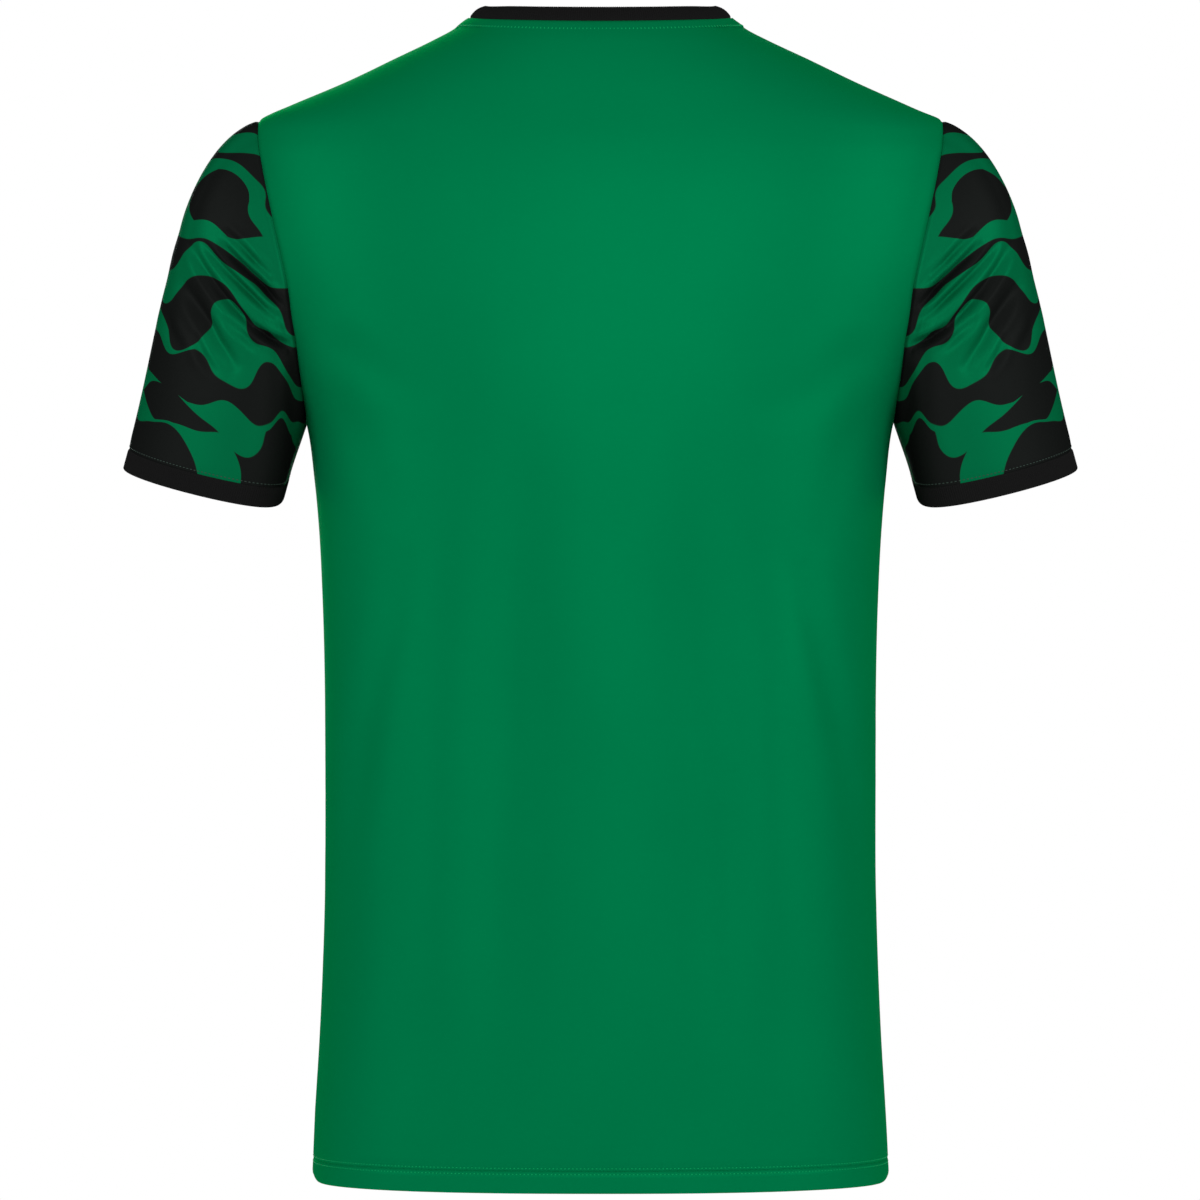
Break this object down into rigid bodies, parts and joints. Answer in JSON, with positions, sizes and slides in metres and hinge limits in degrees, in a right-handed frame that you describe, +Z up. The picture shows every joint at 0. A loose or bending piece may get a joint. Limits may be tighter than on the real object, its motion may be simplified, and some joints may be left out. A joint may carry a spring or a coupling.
{
  "type": "football jersey",
  "caption": "Short-sleeve football jersey with a crew neck, filled out as when worn and hollow inside, open at the neck, hem and cuffs.",
  "frame": {"origin": "midway between the neck ends of the two shoulder seams, 4 mm below them, where the jersey rests on the wearer's shoulders", "axes": "+Z up, -Y the way the wearer faces, +X towards the wearer's left arm"},
  "size_m": [0.6026, 0.2491, 0.7385],
  "materials": {
    "body_knit": "smooth polyester interlock knit, green, faint sheen",
    "sleeve_knit": "smooth polyester interlock knit, printed with green and black stripes",
    "rib_knit": "matt rib knit, black"
  },
  "bodies": {
    "root": {"back_panel": "body_knit", "front_panel": "body_knit", "left_sleeve": "sleeve_knit", "right_sleeve": "sleeve_knit", "neck_rib": "rib_knit", "left_cuff": "rib_knit", "right_cuff": "rib_knit"}
  },
  "joints": []
}
